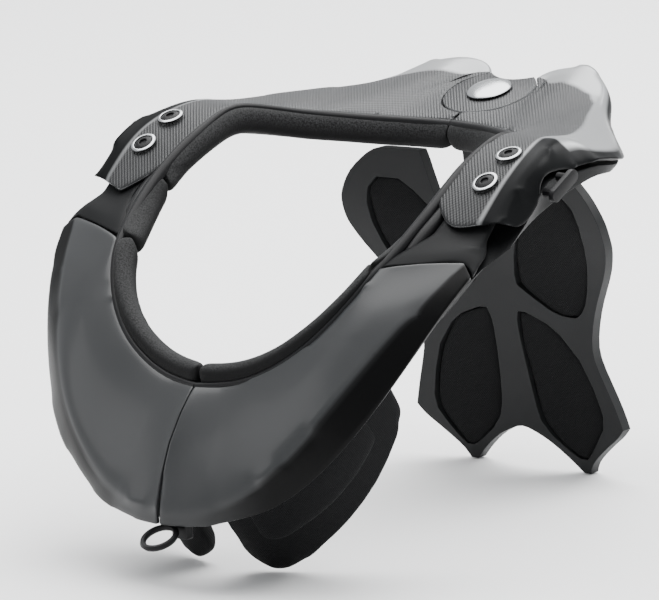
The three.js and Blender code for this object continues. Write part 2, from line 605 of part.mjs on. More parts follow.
// Height as a share of the rise, then the inner and outer edge as shares of the half width
const STABILISER = [
  [0.66, 0.375, 0.7], [0.61, 0.356, 0.794], [0.54, 0.338, 0.9], [0.47, 0.319, 0.956], [0.41, 0.3, 0.994],
  [0.36, 0.25, 1.0], [0.3, 0.125, 1.0], [0.26, 0, 0.988], [0.16, 0, 0.931], [0.06, 0, 0.838],
  [-0.06, 0, 0.738], [-0.21, 0, 0.663], [-0.3, 0, 0.65], [-0.42, 0, 0.706], [-0.55, 0, 0.769],
  [-0.64, 0, 0.8], [-0.68, 0, 0.756], [-0.705, 0.088, 0.713], [-0.74, 0.188, 0.65], [-0.79, 0.275, 0.569],
  [-0.84, 0.35, 0.494], [-0.89, 0.413, 0.463],
]
const UPPER_PAD = [
  [0.51, 0.56, 0.71], [0.46, 0.463, 0.785], [0.38, 0.363, 0.813], [0.28, 0.256, 0.813], [0.18, 0.2, 0.788],
  [0.08, 0.163, 0.738], [0.03, 0.163, 0.713], [-0.03, 0.275, 0.675], [-0.08, 0.388, 0.625], [-0.1, 0.475, 0.575],
]
const LOWER_PAD = [
  [-0.11, 0.125, 0.175], [-0.15, 0.106, 0.325], [-0.2, 0.1, 0.413], [-0.32, 0.106, 0.538], [-0.45, 0.119, 0.606],
  [-0.58, 0.138, 0.65], [-0.65, 0.163, 0.638], [-0.72, 0.238, 0.575], [-0.78, 0.338, 0.513], [-0.815, 0.413, 0.463],
]

// Slab that follows the stabiliser's surface between two depths behind its front face
const slab = (table, front, back, grow, columns) => {
  const rings = table.map(([height, inner, outer], i) => {
    const end = i === 0 ? grow : i === table.length - 1 ? -grow : 0
    const z = height * FRAME_RISE + end
    const [from, to] = [inner * STABILISER_HALF - grow, outer * STABILISER_HALF + grow]
    const line = (depth) =>
      Array.from({ length: columns + 1 }, (_, j) => {
        const x = from + ((to - from) * j) / columns
        return new THREE.Vector3(x, plateFront(x, z) + depth, z)
      })
    return [...line(front), ...line(back).reverse()]
  })
  return loft(rings, true)
}
const PAD_SUNK = 0.7
const stabiliserHalf = slab(STABILISER, 0, STABILISER_THICKNESS, 0, 4)
const pocketSlabs = [UPPER_PAD, LOWER_PAD].map((table) => slab(table, -3, POCKET_DEPTH, GAP, 2))
const stabiliserGeometry = () => {
  const whole = solid(stabiliserHalf).add(solid(mirrored(stabiliserHalf)))
  const pockets = pocketSlabs.flatMap((pocket) => [solid(pocket), solid(mirrored(pocket))])
  return fromSolid(pockets.reduce((body, pocket) => body.subtract(pocket), whole))
}
const stabiliserPad = (table) => slab(table, PAD_SUNK, POCKET_DEPTH - GAP, 0, 2)

// Hub base: the flange below the lugs, with a neck that runs down behind the stabiliser
const NECK_THICKNESS = 6
const NECK_FOOT = 0.08
const baseGeometry = () => {
  const flange = new THREE.CylinderGeometry(BASE_RADIUS, BASE_RADIUS - 2, BASE_THICKNESS, 28)
  flange.rotateX(Math.PI / 2)
  flange.translate(0, 0, -BASE_THICKNESS / 2)
  const top = hubPoint(0, 0, BASE_DEPTH + 1.4 * BASE_THICKNESS).z
  const foot = NECK_FOOT * FRAME_RISE
  const STEPS = 8
  const rings = Array.from({ length: STEPS + 1 }, (_, i) => {
    const z = foot + ((top - foot) * i) / STEPS
    const front = plateFront(0, Math.min(z, 0.7 * FRAME_RISE)) + STABILISER_THICKNESS + GAP
    const half = NECK_WIDTH / 2
    const back = front + NECK_THICKNESS
    const corners = [[-half, front], [half, front], [half, back], [-half, back]]
    return corners.map(([x, y]) => new THREE.Vector3(x, y, z))
  })
  return fromSolid(solid(onHub(flange, BASE_DEPTH)).add(solid(loft(rings, true))))
}

// Chest pad: turn around the neck and its lower edge; the upper edge follows the liner
const CHEST_PAD = [
  { turn: 5, low: [0.08, 0.074, -0.83] },
  { turn: 10, low: [0.16, 0.08, -0.885] },
  { turn: 17, low: [0.255, 0.096, -0.885] },
  { turn: 25, low: [0.375, 0.121, -0.757] },
  { turn: 31, low: [0.467, 0.143, -0.642] },
  { turn: 37, low: [0.567, 0.168, -0.466] },
  { turn: 42, low: [0.64, 0.186, -0.27] },
  { turn: 45, low: [0.68, 0.19, -0.14] },
]
const CHEST_COLUMNS = [0, 0.22, 0.5, 0.78, 1]
const chestRow = ({ turn, low }) => {
  const row = linerRow(turn)
  const seat = mix(row[1], row[3], 0.7).addScaledVector(inwardAt(turn), LINER_WALL + GAP - 0.4)
  return CHEST_COLUMNS.map((t) => mix(at(...low), seat, t))
}
const behindChest = (p) => new THREE.Vector3(p.x * 0.6, p.y + 40, p.z - 30)
const chestPadRows = smoothRows(CHEST_PAD.map(chestRow), 2)
const chestPad = sheet(chestPadRows, CHEST_PAD_THICKNESS, behindChest)

// Raised block on the front of the chest pad, inside its border
const chestNormals = gridNormals(chestPadRows, behindChest)
const BLOCK_LIFT = CHEST_BLOCK_THICKNESS + GAP + 0.5
const chestBlockRows = chestPadRows.slice(2, -2).map((row, i) =>
  row.slice(1, -1).map((p, j) => p.clone().addScaledVector(chestNormals[i + 2][j + 1], BLOCK_LIFT)))
const chestBlock = sheet(chestBlockRows, CHEST_BLOCK_THICKNESS, behindChest)

// Latch behind the front split, and the pull ring below it
const LATCH_SIZE = { x: 9, y: 5, z: 12 }
const latchGeometry = () => {
  const box = new THREE.BoxGeometry(LATCH_SIZE.x, LATCH_SIZE.y, LATCH_SIZE.z)
  return box.translate(SPLIT_GAP + LATCH_SIZE.x / 2, -0.078 * FRAME_LENGTH, -1.036 * BIB_DROP)
}
const pullRingGeometry = () => {
  const wire = new THREE.TorusGeometry(PULL_RING_RADIUS, PULL_RING_WIRE, 6, 24)
  wire.rotateX(THREE.MathUtils.degToRad(24))
  return wire.translate(1.4, -0.1234 * FRAME_LENGTH, -1.1 * BIB_DROP)
}

const sides = [
  { side: 'left', flip: (geometry) => geometry, lugDepth: LEFT_LUG_DEPTH },
  { side: 'right', flip: mirrored, lugDepth: RIGHT_LUG_DEPTH },
]
for (const { side, flip, lugDepth } of sides) {
  add(`front_shell_${side}`, flip(frontShell), glossGrey)
  add(`front_liner_${side}`, flip(frontLiner), blackPlastic)
  add(`arm_plate_${side}`, flip(armPlate), matteGrey)
  add(`rear_shell_${side}`, flip(rearShell), satinGrey)
  add(`lower_frame_${side}`, flip(lowerFrame(lugDepth)), matteGrey)
  add(`front_collar_pad_${side}`, flip(collarPad(0, 53.6, 12)), padFabric)
  add(`side_collar_pad_${side}`, flip(collarPad(54.2, 76.5, 6)), padFabric)
  add(`rear_collar_pad_${side}`, flip(collarPad(77.1, 180, 20)), padFabric)
  add(`screw_ring_front_${side}`, flip(onArm(ringGeometry(), FRONT_SCREW_Y)), brightMetal)
  add(`screw_ring_rear_${side}`, flip(onArm(ringGeometry(), FRONT_SCREW_Y + SCREW_SPACING)), brightMetal)
  add(`screw_front_${side}`, flip(onArm(screwGeometry(), FRONT_SCREW_Y)), blackPlastic)
  add(`screw_rear_${side}`, flip(onArm(screwGeometry(), FRONT_SCREW_Y + SCREW_SPACING)), blackPlastic)
  add(`strap_hook_${side}`, flip(hookGeometry()), blackPlastic)
  add(`chest_pad_${side}`, flip(chestPad), blackTextile)
  add(`chest_block_${side}`, flip(chestBlock), blackTextile)
  add(`upper_spine_pad_${side}`, flip(stabiliserPad(UPPER_PAD)), blackTextile)
  add(`lower_spine_pad_${side}`, flip(stabiliserPad(LOWER_PAD)), blackTextile)
}
add('hub_cover', coverGeometry(), satinGrey)
add('hub_button', buttonGeometry(), brightMetal)
add('hub_base', baseGeometry(), blackPlastic)
add('stabiliser', stabiliserGeometry(), matteGrey)
add('front_latch', latchGeometry(), blackPlastic)
add('pull_ring', pullRingGeometry(), blackPlastic)

// The origin is the middle of the footprint, on the surface that the brace stands on
const box = new THREE.Box3().setFromObject(model)
model.position.set(0, -(box.min.y + box.max.y) / 2, -box.min.z)
const brace = new THREE.Group()
brace.add(model)

export default brace
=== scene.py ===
import math

import bmesh
import bpy
from mathutils import Matrix, Vector


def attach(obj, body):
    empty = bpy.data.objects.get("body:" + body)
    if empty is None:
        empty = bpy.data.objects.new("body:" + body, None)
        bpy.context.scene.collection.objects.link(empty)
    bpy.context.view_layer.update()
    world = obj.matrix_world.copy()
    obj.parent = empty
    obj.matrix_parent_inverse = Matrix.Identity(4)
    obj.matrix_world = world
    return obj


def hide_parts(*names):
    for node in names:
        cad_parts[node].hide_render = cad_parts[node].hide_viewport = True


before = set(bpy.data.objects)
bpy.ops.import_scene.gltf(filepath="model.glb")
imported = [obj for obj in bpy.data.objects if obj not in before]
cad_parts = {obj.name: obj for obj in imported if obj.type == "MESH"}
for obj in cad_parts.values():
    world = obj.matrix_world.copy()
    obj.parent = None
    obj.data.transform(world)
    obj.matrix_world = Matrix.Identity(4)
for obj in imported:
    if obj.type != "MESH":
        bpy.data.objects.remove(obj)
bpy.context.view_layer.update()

bpy.ops.object.select_all(action="DESELECT")

# Neck brace, in metres. -Y is the wearer's front, +X the wearer's left.
# Drawing places are millimetres from the front edge of the neck opening: sideways, along, up.
FRONT_EDGE = Vector((0.0, -0.102889, 0.089403))
SIDES = (("left", 1), ("right", -1))


def from_edge(x, y, z):
    """A drawing place as a point in metres."""
    return FRONT_EDGE + Vector((x, y, z)) * 0.001


def drawn(place):
    """A point in metres as a drawing place, with both sides taken as one."""
    x, y, z = ((value - edge) * 1000 for value, edge in zip(place, FRONT_EDGE))
    return abs(x), y, z


def smooth_step(value, low, high):
    share = min(max((value - low) / (high - low), 0.0), 1.0)
    return share * share * (3 - 2 * share)


# Camera, floor and light ------------------------------------------------------

CAMERA_PLACE = (2.3030, -2.6966, 0.8855)
CAMERA_RIGHT = (0.766, 0.6408, -0.0527)
CAMERA_UP = (-0.0983, 0.1977, 0.9750)
CAMERA_LENS = 437
SENSOR_WIDTH = 36
FAR_CLIP = 20

SKY_COLOUR = (0.96, 0.98, 1.0, 1)
SKY_STRENGTH = 0.9

FLOOR_SIZE = 12
FLOOR_DROP = 0.0002

# Name, place, aim, width, height and power.
SOFTBOXES = (
    ("overhead_softbox", (0.0, 0.55, 2.0), (0, 0.25, 0), 3.4, 3.0, 190),
    ("rear_softbox", (0.4, 1.4, 0.9), (0.0, 0.1, 0.15), 0.8, 0.4, 10),
    ("front_fill", (-1.3, -1.3, 0.9), (0, 0, 0.1), 0.9, 0.9, 5),
)


def set_camera():
    right = Vector(CAMERA_RIGHT).normalized()
    toward = right.cross(Vector(CAMERA_UP)).normalized()
    up = toward.cross(right)
    bpy.ops.object.camera_add()
    camera = bpy.context.object
    camera.name = "product_camera"
    turn = Matrix((right, up, toward)).transposed().to_4x4()
    camera.matrix_world = Matrix.Translation(CAMERA_PLACE) @ turn
    camera.data.sensor_fit = "HORIZONTAL"
    camera.data.sensor_width = SENSOR_WIDTH
    camera.data.lens = CAMERA_LENS
    camera.data.clip_end = FAR_CLIP
    bpy.context.scene.camera = camera


def softbox(name, place, aim, width, height, power):
    bpy.ops.object.light_add(type="AREA", location=place)
    lamp = bpy.context.object
    lamp.name = name
    lamp.data.shape = "RECTANGLE"
    lamp.data.size = width
    lamp.data.size_y = height
    lamp.data.energy = power
    direction = Vector(aim) - Vector(place)
    lamp.rotation_euler = direction.to_track_quat("-Z", "Y").to_euler()


def set_light():
    world = bpy.data.worlds.new("studio_air")
    bpy.context.scene.world = world
    world.use_nodes = True
    sky = world.node_tree.nodes["Background"]
    sky.inputs["Color"].default_value = SKY_COLOUR
    sky.inputs["Strength"].default_value = SKY_STRENGTH
    for box in SOFTBOXES:
        softbox(*box)


def lay_floor(material):
    """The floor, a hair below the brace's lowest point."""
    bpy.ops.mesh.primitive_plane_add(size=FLOOR_SIZE, location=(0, 0, 0))
    floor = bpy.context.object
    floor.name = "studio_floor"
    floor.data.transform(Matrix.Translation((0, 0, -FLOOR_DROP)))
    floor.data.materials.append(material)
    floor.select_set(False)


# Node tools -------------------------------------------------------------------


def add_node(tree, kind, place, **settings):
    node = tree.nodes.new(kind)
    node.location = place
    for key, value in settings.items():
        setattr(node, key, value)
    return node


def feed(tree, socket, value):
    """Sets a socket to a number or a colour, or links another node's output to it."""
    if isinstance(value, bpy.types.NodeSocket):
        tree.links.new(value, socket)
    elif isinstance(value, tuple):
        socket.default_value = (*value, 1)
    elif value is not None:
        socket.default_value = value


def start_group(name, inputs, outputs):
    tree = bpy.data.node_groups.new(name, "ShaderNodeTree")
    for label, value in inputs.items():
        socket = tree.interface.new_socket(
            name=label, in_out="INPUT", socket_type="NodeSocketFloat")
        socket.default_value = value
    for label in outputs:
        tree.interface.new_socket(name=label, in_out="OUTPUT", socket_type="NodeSocketFloat")
    source = add_node(tree, "NodeGroupInput", (-900, 0))
    sink = add_node(tree, "NodeGroupOutput", (700, 0))
    where = add_node(tree, "ShaderNodeTexCoord", (-900, 300)).outputs["Object"]
    return tree, source, sink, where


def maths(tree, operation, place, first, second=None, third=None):
    """A math node, fed with numbers and with the outputs of other nodes."""
    node = add_node(tree, "ShaderNodeMath", place, operation=operation)
    for socket, value in zip(node.inputs, (first, second, third)):
        feed(tree, socket, value)
    return node.outputs[0]


def noise(tree, place, where, scale, detail):
    node = add_node(tree, "ShaderNodeTexNoise", place)
    node.inputs["Detail"].default_value = detail
    tree.links.new(where, node.inputs["Vector"])
    feed(tree, node.inputs["Scale"], scale)
    return node.outputs["Fac"]


def moulded_grain():
    """Fine spark-eroded grain of a moulded part, with a slow drift of tone."""
    sizes = {"Grain Size": 0.0006, "Drift Size": 0.04}
    tree, source, sink, where = start_group("moulded_grain", sizes, ("Height", "Drift"))
    grain_scale = maths(tree, "DIVIDE", (-650, 150), 1.0, source.outputs["Grain Size"])
    drift_scale = maths(tree, "DIVIDE", (-650, -50), 1.0, source.outputs["Drift Size"])
    grain = noise(tree, (-400, 200), where, grain_scale, detail=2.5)
    drift = noise(tree, (-400, -100), where, drift_scale, detail=3)
    tree.links.new(grain, sink.inputs["Height"])
    tree.links.new(drift, sink.inputs["Drift"])
    return tree


WEAVE_TURN = math.radians(-40)
RIB_SHARE = 0.7
CROSS_SHARE = 0.3


def fine_weave():
    """Moulded weave seen from above: strong ribs at a slant, crossed by weak ones."""
    tree, source, sink, where = start_group("fine_weave", {"Pitch": 0.00135}, ("Height",))
    turned = add_node(tree, "ShaderNodeMapping", (-700, 300))
    turned.inputs["Rotation"].default_value = (0, 0, WEAVE_TURN)
    tree.links.new(where, turned.inputs["Vector"])
    split = add_node(tree, "ShaderNodeSeparateXYZ", (-500, 300))
    tree.links.new(turned.outputs["Vector"], split.inputs["Vector"])
    rate = maths(tree, "DIVIDE", (-700, 0), 2 * math.pi, source.outputs["Pitch"])
    waves = []
    for axis, row in (("X", 250), ("Y", 50)):
        phase = maths(tree, "MULTIPLY", (-300, row), split.outputs[axis], rate)
        wave = maths(tree, "SINE", (-120, row), phase)
        waves.append(maths(tree, "MULTIPLY_ADD", (60, row), wave, 0.5, 0.5))
    ribs = maths(tree, "MULTIPLY", (250, 200), waves[0], RIB_SHARE)
    height = maths(tree, "MULTIPLY_ADD", (250, 0), waves[1], CROSS_SHARE, ribs)
    tree.links.new(height, sink.inputs["Height"])
    return tree


def edge_wear_and_highlight():
    """Mask of the raised edges: wear that hands and straps leave, and a painted highlight along
    them.
    """
    limits = {"Start": 0.53, "End": 0.62}
    tree, source, sink, where = start_group("edge_wear_and_highlight", limits, ("Mask",))
    shape = add_node(tree, "ShaderNodeNewGeometry", (-900, 200))
    patches = noise(tree, (-650, -200), where, scale=160, detail=4)
    ramp = add_node(tree, "ShaderNodeMapRange", (-400, 200))
    tree.links.new(shape.outputs["Pointiness"], ramp.inputs["Value"])
    tree.links.new(source.outputs["Start"], ramp.inputs["From Min"])
    tree.links.new(source.outputs["End"], ramp.inputs["From Max"])
    worn_and_lit = maths(tree, "MULTIPLY", (-150, 0), ramp.outputs["Result"], patches)
    tree.links.new(worn_and_lit, sink.inputs["Mask"])
    return tree


def cloth_threads():
    """Warp and weft of a textile, followed through the piece from its front."""
    sizes = {"Thread": 0.0007, "Fuzz": 0.4}
    tree, source, sink, where = start_group("cloth_threads", sizes, ("Height", "Shade"))
    split = add_node(tree, "ShaderNodeSeparateXYZ", (-700, 300))
    tree.links.new(where, split.inputs["Vector"])
    rate = maths(tree, "DIVIDE", (-700, 0), math.pi, source.outputs["Thread"])
    across = maths(tree, "ADD", (-550, 250), split.outputs["X"], split.outputs["Y"])
    turns = []
    for direction, row in ((across, 250), (split.outputs["Z"], 80)):
        phase = maths(tree, "MULTIPLY", (-400, row), direction, rate)
        turns.append(maths(tree, "SINE", (-250, row), phase))
    weave = maths(tree, "MULTIPLY", (-80, 150), *turns)
    fuzz = noise(tree, (-300, -150), where, scale=1800, detail=2)
    rough = maths(tree, "MULTIPLY", (-80, -100), fuzz, source.outputs["Fuzz"])
    height = maths(tree, "MULTIPLY_ADD", (150, 50), weave, 0.5, rough)
    shade = maths(tree, "MULTIPLY_ADD", (150, -120), weave, 0.25, 0.6)
    tree.links.new(height, sink.inputs["Height"])
    tree.links.new(shade, sink.inputs["Shade"])
    return tree


# Finishes ---------------------------------------------------------------------


def use_group(material, tree, place, **values):
    node = add_node(material.node_tree, "ShaderNodeGroup", place, node_tree=tree)
    for key, value in values.items():
        node.inputs[key.replace("_", " ")].default_value = value
    return node


def use_grain(material, size, drift):
    """The moulded grain at one size. Returns its height and its drift of tone."""
    node = use_group(material, grain_group, (-700, 0), Grain_Size=size, Drift_Size=drift)
    return node.outputs["Height"], node.outputs["Drift"]


def use_wear_highlight(material, start, end):
    node = use_group(material, wear_highlight_group, (-700, -250), Start=start, End=end)
    return node.outputs["Mask"]


def new_finish(name, **sockets):
    """A material with its Principled sockets set, and no colour or relief yet."""
    material = bpy.data.materials.new(name)
    material.use_nodes = True
    shader = material.node_tree.nodes["Principled BSDF"]
    for key, value in sockets.items():
        shader.inputs[key.replace("_", " ")].default_value = value
    return material, material.node_tree, shader


def mixed(tree, place, mask, low, high):
    """A colour between two, by a mask. Each is a tone or another node's output."""
    node = add_node(tree, "ShaderNodeMix", place, data_type="RGBA")
    tree.links.new(mask, node.inputs["Factor"])
    feed(tree, node.inputs["A"], low)
    feed(tree, node.inputs["B"], high)
    return node.outputs["Result"]


def vary(tree, shader, socket, row, mask, at_zero, at_one):
    """Drives one of the shader's sockets between two values, by a mask."""
    value = maths(tree, "MULTIPLY_ADD", (-250, row), mask, at_one - at_zero, at_zero)
    tree.links.new(value, shader.inputs[socket])


def relief(tree, shader, height, depth):
    bump = add_node(tree, "ShaderNodeBump", (-50, -400))
    bump.inputs["Distance"].default_value = depth
    bump.inputs["Strength"].default_value = 1.0
    tree.links.new(height, bump.inputs["Height"])
    tree.links.new(bump.outputs["Normal"], shader.inputs["Normal"])


def painted(tree, name, row=-300):
    """The value of one of the piece's own painted attributes."""
    return add_node(tree, "ShaderNodeAttribute", (-900, row), attribute_name=name).outputs["Fac"]


grain_group = moulded_grain()
weave_group = fine_weave()
wear_highlight_group = edge_wear_and_highlight()
thread_group = cloth_threads()


def gloss_shell_finish():
    """Glossy grey of the bib, made darker and duller by painted shade below the crease."""
    material, tree, shader = new_finish("gloss_shell", Coat_Roughness=0.15)
    height, drift = use_grain(material, 0.0009, 0.05)
    wear_highlight = use_wear_highlight(material, 0.54, 0.66)
    # Painted shade: mask of the shade painted on the side wall below the crease.
    painted_shade = painted(tree, "flank_shade")
    body = mixed(tree, (-450, 250), drift, (0.017, 0.018, 0.019), (0.022, 0.023, 0.024))
    flank_shade = mixed(tree, (-250, 250), painted_shade, body, (0.001, 0.001, 0.0011))
    # Lighter raised edges: wear, and a painted highlight along them.
    worn_and_lit = mixed(tree, (-50, 250), wear_highlight, flank_shade, (0.06, 0.062, 0.065))
    tree.links.new(worn_and_lit, shader.inputs["Base Color"])
    vary(tree, shader, "Roughness", 0, drift, 0.26, 0.38)
    vary(tree, shader, "Specular IOR Level", -120, painted_shade, 0.27, 0.07)
    vary(tree, shader, "Coat Weight", -200, painted_shade, 0.12, 0.02)
    relief(tree, shader, height, 0.00002)
    return material


def matte_frame_finish(name, low, high, level):
    """Matte plastic between two tones, with the given specular level."""
    material, tree, shader = new_finish(name, Specular_IOR_Level=level)
    height, drift = use_grain(material, 0.0005, 0.03)
    wear_highlight = use_wear_highlight(material, 0.54, 0.7)
    body = mixed(tree, (-450, 250), drift, low, high)
    # Lighter raised edges: wear, and a painted highlight along them.
    worn_and_lit = mixed(tree, (-50, 250), wear_highlight, body, (0.03, 0.031, 0.033))
    tree.links.new(worn_and_lit, shader.inputs["Base Color"])
    vary(tree, shader, "Roughness", 0, height, 0.42, 0.56)
    relief(tree, shader, height, 0.00005)
    return material


def satin_shell_finish():
    """Bare satin rim, a woven plate inside it, and painted shade on the side wall outside it, on
    the underside and towards the tongue's tip.
    """
    material, tree, shader = new_finish("satin_shell")
    drift = use_grain(material, 0.0005, 0.05)[1]
    weave = use_group(material, weave_group, (-700, -250), Pitch=0.00135).outputs["Height"]
    plate = painted(tree, "woven")
    # Painted shade on the side wall, the underside and the tongue.
    painted_shade = painted(tree, "flank_shade", -500)
    ribs = mixed(tree, (-450, 300), weave, (0.024, 0.0245, 0.025), (0.048, 0.049, 0.051))
    bare = mixed(tree, (-450, 100), drift, (0.27, 0.275, 0.28), (0.34, 0.345, 0.35))
    body = mixed(tree, (-250, 250), plate, bare, ribs)
    flank_shade = mixed(tree, (-50, 250), painted_shade, body, (0.006, 0.0063, 0.0066))
    tree.links.new(flank_shade, shader.inputs["Base Color"])
    vary(tree, shader, "Roughness", 0, plate, 0.30, 0.38)
    vary(tree, shader, "Specular IOR Level", -120, painted_shade, 0.5, 0.02)
    vary(tree, shader, "Metallic", -200, painted_shade, 0.5, 0.05)
    raised = maths(tree, "MULTIPLY", (-250, -300), weave, plate)
    relief(tree, shader, raised, 0.00022)
    return material


def pad_skin_finish():
    """Black foam skin, speckled along the upper band of the pad."""
    material, tree, shader = new_finish(
        "pad_foam", Specular_IOR_Level=0.1, Sheen_Weight=0.03, Sheen_Roughness=0.4)
    height = use_grain(material, 0.0007, 0.02)[0]
    above = maths(tree, "SUBTRACT", (-760, 300), height, 0.3)
    speckle = maths(tree, "MULTIPLY", (-620, 300), above, 2.4)
    band = maths(tree, "MULTIPLY", (-560, 250), speckle, painted(tree, "upper"))
    body = mixed(tree, (-450, 250), band, (0.0035, 0.0035, 0.0037), (0.030, 0.0305, 0.031))
    tree.links.new(body, shader.inputs["Base Color"])
    vary(tree, shader, "Roughness", 0, height, 0.5, 0.75)
    relief(tree, shader, height, 0.00018)
    return material


def textile_finish():
    """Black woven cover of the chest and spine pads."""
    material, tree, shader = new_finish(
        "pad_textile", Roughness=0.85, Specular_IOR_Level=0.1,
        Sheen_Weight=0.03, Sheen_Roughness=0.5)
    threads = use_group(material, thread_group, (-700, 0), Thread=0.0007, Fuzz=0.4)
    shade = threads.outputs["Shade"]
    body = mixed(tree, (-450, 250), shade, (0.0012, 0.0012, 0.0014), (0.0055, 0.0057, 0.0062))
    tree.links.new(body, shader.inputs["Base Color"])
    relief(tree, shader, threads.outputs["Height"], 0.00015)
    return material


def black_plastic_finish():
    material, tree, shader = new_finish("black_plastic", Specular_IOR_Level=0.15)
    height, drift = use_grain(material, 0.0006, 0.01)
    wear_highlight = use_wear_highlight(material, 0.55, 0.8)
    # Lighter raised edges: wear, and a painted highlight along them.
    body = mixed(tree, (-450, 250), wear_highlight, (0.004, 0.004, 0.0045), (0.02, 0.0205, 0.021))
    tree.links.new(body, shader.inputs["Base Color"])
    vary(tree, shader, "Roughness", 0, drift, 0.32, 0.52)
    relief(tree, shader, height, 0.00003)
    return material


def bright_metal_finish():
    """Bright metal between the painted radii; black inside the washer's ring, and painted shade
    at the outer rim of each ring and of the button.
    """
    material, tree, shader = new_finish("bright_metal", Metallic=1.0)
    height = use_grain(material, 0.0004, 0.008)[0]
    polished_inside_shaded_rim = painted(tree, "polished_inside_shaded_rim")
    body = mixed(tree, (-450, 250), polished_inside_shaded_rim, (0.006, 0.006, 0.0065), (0.52, 0.53, 0.54))
    tree.links.new(body, shader.inputs["Base Color"])
    vary(tree, shader, "Roughness", 0, height, 0.16, 0.28)
    relief(tree, shader, height, 0.00001)
    return material


def floor_finish():
    material, tree, shader = new_finish("studio_paper", Roughness=0.9, Specular_IOR_Level=0.1)
    drift = use_grain(material, 0.004, 0.4)[1]
    body = mixed(tree, (-450, 250), drift, (0.88, 0.88, 0.88), (0.9, 0.9, 0.9))
    tree.links.new(body, shader.inputs["Base Color"])
    return material


finishes = {
    "gloss_shell": gloss_shell_finish(),
    "matte_frame": matte_frame_finish(
        "matte_frame", (0.0045, 0.0047, 0.005), (0.0065, 0.0068, 0.0072), 0.06),
    "spine_frame": matte_frame_finish(
        "spine_frame", (0.012, 0.0124, 0.013), (0.016, 0.0165, 0.017), 0.12),
    "satin_shell": satin_shell_finish(),
    "pad_foam": pad_skin_finish(),
    "pad_textile": textile_finish(),
    "black_plastic": black_plastic_finish(),
    "bright_metal": bright_metal_finish(),
}

# Modelling tools --------------------------------------------------------------

WELD_GAP = 0.00001
QUAD_FOLD = math.radians(40)
QUAD_SHAPE = math.radians(170)
SHARP_CORNER = 45
LONG_EDGE = 0.0028


def pick(piece):
    bpy.ops.object.select_all(action="DESELECT")
    piece.select_set(True)
    bpy.context.view_layer.objects.active = piece


def edit(piece):
    pick(piece)
    bpy.ops.object.mode_set(mode="EDIT")


def leave():
    bpy.ops.object.mode_set(mode="OBJECT")


def shade_smooth(piece):
    pick(piece)
    bpy.ops.object.shade_smooth()


def shade_flat_folds(piece):
    """Smooth shading that stops at the folds of a hard piece."""
    pick(piece)
    bpy.ops.object.shade_smooth_by_angle(angle=math.radians(40))


def welded(node, name):
    """A copy of a solid's surface as its own object, welded and back in quads."""
    piece = bpy.data.objects.new(name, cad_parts[node].data.copy())
    bpy.context.collection.objects.link(piece)
    piece.data.materials.clear()
    pick(piece)
    bpy.ops.mesh.customdata_custom_splitnormals_clear()
    edit(piece)
    bpy.ops.mesh.select_all(action="SELECT")
    bpy.ops.mesh.remove_doubles(threshold=WELD_GAP)
    bpy.ops.mesh.mark_sharp(clear=True)
    bpy.ops.mesh.tris_convert_to_quads(face_threshold=QUAD_FOLD, shape_threshold=QUAD_SHAPE)
    leave()
    return piece


def select_where(piece, kind, rule):
    """In edit mode, selects the points ("verts") or the edges that a rule picks."""
    bpy.ops.mesh.select_all(action="DESELECT")
    bm = bmesh.from_edit_mesh(piece.data)
    for element in getattr(bm, kind):
        element.select = rule(element)
    bm.select_flush_mode()
    bmesh.update_edit_mesh(piece.data)


def fold_of(edge):
    return math.degrees(edge.calc_face_angle(0))


def crease_folds(piece, folds):
    """Holds folded edges when the piece is subdivided: pairs of least angle and added crease."""
    edit(piece)
    for least, hold in folds:
        select_where(piece, "edges", lambda edge: fold_of(edge) >= least)
        bpy.ops.transform.edge_crease(value=hold)
    leave()


def crease_line(piece, name, level, hold):
    """Creases the line of points with a painted value, where it borders the other value."""
    edit(piece)
    bpy.ops.mesh.select_all(action="DESELECT")
    bm = bmesh.from_edit_mesh(piece.data)
    layer = bm.verts.layers.float[name]

    def differs(point):
        return round(point[layer]) != level

    for edge in bm.edges:
        on_line = not any(differs(point) for point in edge.verts)
        borders = [any(differs(point) for point in face.verts) for face in edge.link_faces]
        edge.select = on_line and any(borders) and not all(borders)
    bm.select_flush_mode()
    bmesh.update_edit_mesh(piece.data)
    bpy.ops.transform.edge_crease(value=hold)
    leave()


def ease_line(piece, on_line, rounds):
    """Evens out a long line of points, each between its two neighbours on that line."""
    edit(piece)
    bm = bmesh.from_edit_mesh(piece.data)
    layer = bm.verts.layers.float["flank_shade"]
    line = {point for point in bm.verts if on_line(point, layer)}
    for _ in range(rounds):
        moves = []
        for point in line:
            long_edges = [edge for edge in point.link_edges if edge.calc_length() > LONG_EDGE]
            beside = [edge.other_vert(point) for edge in long_edges]
            beside = [other for other in beside if other in line]
            if len(beside) == 2:
                moves.append((point, (beside[0].co + beside[1].co) * 0.25 + point.co * 0.5))
        for point, place in moves:
            point.co = place
    bmesh.update_edit_mesh(piece.data)
    leave()


def on_hem(point, layer):
    """On the lower edge of the bib, which carries the painted shade."""
    return point[layer] > 0.5


def on_crease(point, layer):
    """On the last line of points before the painted shade."""
    beside = (edge.other_vert(point) for edge in point.link_edges)
    return point[layer] < 0.5 and any(other[layer] > 0.5 for other in beside)


def ease_area(piece, chosen, rounds, corner=SHARP_CORNER):
    """Relaxes the points of an area, except those on folds of at least that angle."""
    edit(piece)
    select_where(
        piece, "verts",
        lambda point: max(map(fold_of, point.link_edges)) < corner and chosen(point.co))
    bpy.ops.mesh.vertices_smooth(factor=0.5, repeat=rounds)
    leave()


def apply_modifier(piece, kind, **settings):
    pick(piece)
    modifier = piece.modifiers.new(kind.lower(), kind)
    for key, value in settings.items():
        setattr(modifier, key, value)
    bpy.ops.object.modifier_apply(modifier=modifier.name)


def subdivide(piece, levels):
    apply_modifier(piece, "SUBSURF", levels=levels, render_levels=levels)


